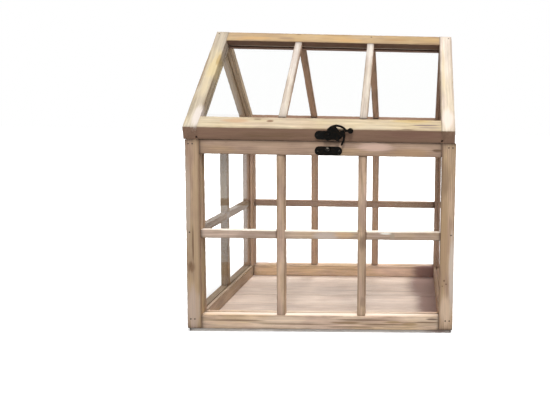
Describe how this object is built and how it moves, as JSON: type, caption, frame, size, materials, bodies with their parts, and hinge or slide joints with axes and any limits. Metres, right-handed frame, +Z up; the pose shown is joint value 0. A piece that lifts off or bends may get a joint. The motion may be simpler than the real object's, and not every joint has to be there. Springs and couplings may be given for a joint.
{
  "type": "mini greenhouse",
  "caption": "Small wooden table greenhouse with glazed walls, a hinged glazed pitched roof as its lid and a black hook latch in front",
  "frame": {"origin": "centre of the underside of the floor boards, midway between the front and rear faces of the body", "axes": "X to the right seen from the front, Y towards the rear, Z up"},
  "size_m": [0.382, 0.2775, 0.443],
  "materials": {
    "frame_wood": "matt",
    "floor_wood": "matt",
    "glass": "clear",
    "brad_steel": "dull",
    "hinge_steel": "satin",
    "black_iron": "satin"
  },
  "bodies": {
    "body": {"floor_board_front": "floor_wood", "floor_board_rear": "floor_wood", "post_front_left": "frame_wood", "post_front_right": "frame_wood", "post_rear_left": "frame_wood", "post_rear_right": "frame_wood", "bottom_rail_front": "frame_wood", "bottom_rail_rear": "frame_wood", "bottom_rail_left": "frame_wood", "bottom_rail_right": "frame_wood", "top_rail_front": "frame_wood", "top_rail_rear": "frame_wood", "top_rail_left": "frame_wood", "top_rail_right": "frame_wood", "mid_rail_front": "frame_wood", "mid_rail_rear": "frame_wood", "mid_rail_left": "frame_wood", "mid_rail_right": "frame_wood", "mullion_front_left": "frame_wood", "mullion_front_right": "frame_wood", "mullion_rear_left": "frame_wood", "mullion_rear_right": "frame_wood", "mullion_left": "frame_wood", "mullion_right": "frame_wood", "pane_front": "glass", "pane_rear": "glass", "pane_left": "glass", "pane_right": "glass", "body_brads": "brad_steel", "keeper_plate": "black_iron", "keeper_peg": "black_iron", "keeper_pins": "black_iron", "hinge_base_leaves": "hinge_steel", "hinge_pins": "hinge_steel", "hinge_base_screws": "hinge_steel"},
    "lid": {"lid_stile_front_left": "frame_wood", "lid_stile_front_right": "frame_wood", "lid_stile_rear_left": "frame_wood", "lid_stile_rear_right": "frame_wood", "eave_rail_front": "frame_wood", "ridge_rail_front": "frame_wood", "roof_pane_front": "glass", "eave_rail_rear": "frame_wood", "ridge_rail_rear": "frame_wood", "roof_pane_rear": "glass", "roof_bar_front_left": "frame_wood", "roof_bar_front_right": "frame_wood", "roof_bar_rear_left": "frame_wood", "roof_bar_rear_right": "frame_wood", "gable_tie_left": "frame_wood", "gable_pane_left": "glass", "gable_tie_right": "frame_wood", "gable_pane_right": "glass", "lid_brads": "brad_steel", "hinge_lid_leaves": "hinge_steel", "hinge_lid_screws": "hinge_steel", "latch_plate": "black_iron", "latch_plate_pins": "black_iron", "latch_rivet": "black_iron"},
    "hook": {"latch_hook": "black_iron"}
  },
  "joints": [
    {"name": "lid_hinge", "type": "hinge", "parent": "body", "child": "lid", "pos_m": [0, 0.13505, 0.27615], "axis": [-1, 0, 0], "range_deg": [0, 160]},
    {"name": "hook_pivot", "type": "hinge", "parent": "lid", "child": "hook", "pos_m": [0.01, -0.1375, 0.2844], "axis": [0, 1, 0], "range_deg": [-90, 79]}
  ]
}
